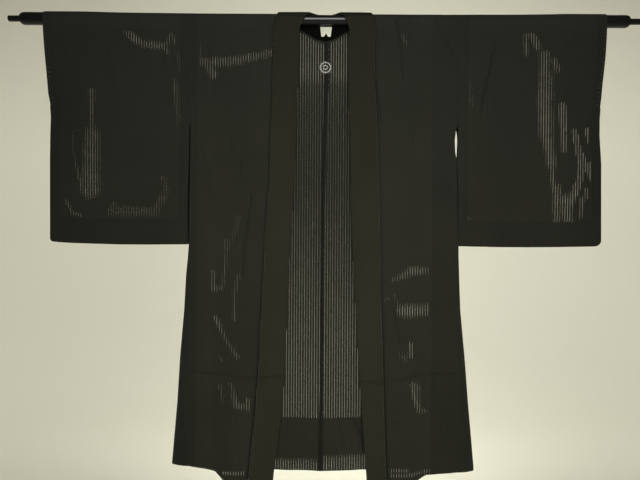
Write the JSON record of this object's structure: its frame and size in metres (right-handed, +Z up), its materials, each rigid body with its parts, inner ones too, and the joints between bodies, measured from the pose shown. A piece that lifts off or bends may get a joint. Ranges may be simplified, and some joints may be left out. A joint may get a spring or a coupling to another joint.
{
  "type": "haori jacket on a hanging rod",
  "caption": "Open-front haori jacket of sheer striped gauze with square sleeves, side gussets and a folded band collar, hung flat on a round rod with thicker ends.",
  "frame": {"origin": "middle of the rod that holds the jacket, on the rod's axis", "axes": "+X along the rod to the viewer's right, fronts of the jacket face -Y, +Z up"},
  "size_m": [1.38, 0.0327, 1.0327],
  "materials": {
    "gauze": "matte black leno-striped gauze with fine see-through slits",
    "collar_band": "matte black gauze, doubled and opaque",
    "label": "plain pale woven patch",
    "rod_paint": "semi-gloss black paint"
  },
  "bodies": {
    "root": {"body_left": "gauze", "body_right": "gauze", "sleeve_left": "gauze", "sleeve_right": "gauze", "gusset_left": "gauze", "gusset_right": "gauze", "collar": "collar_band", "nape_label": "label", "rod": "rod_paint"}
  },
  "joints": []
}
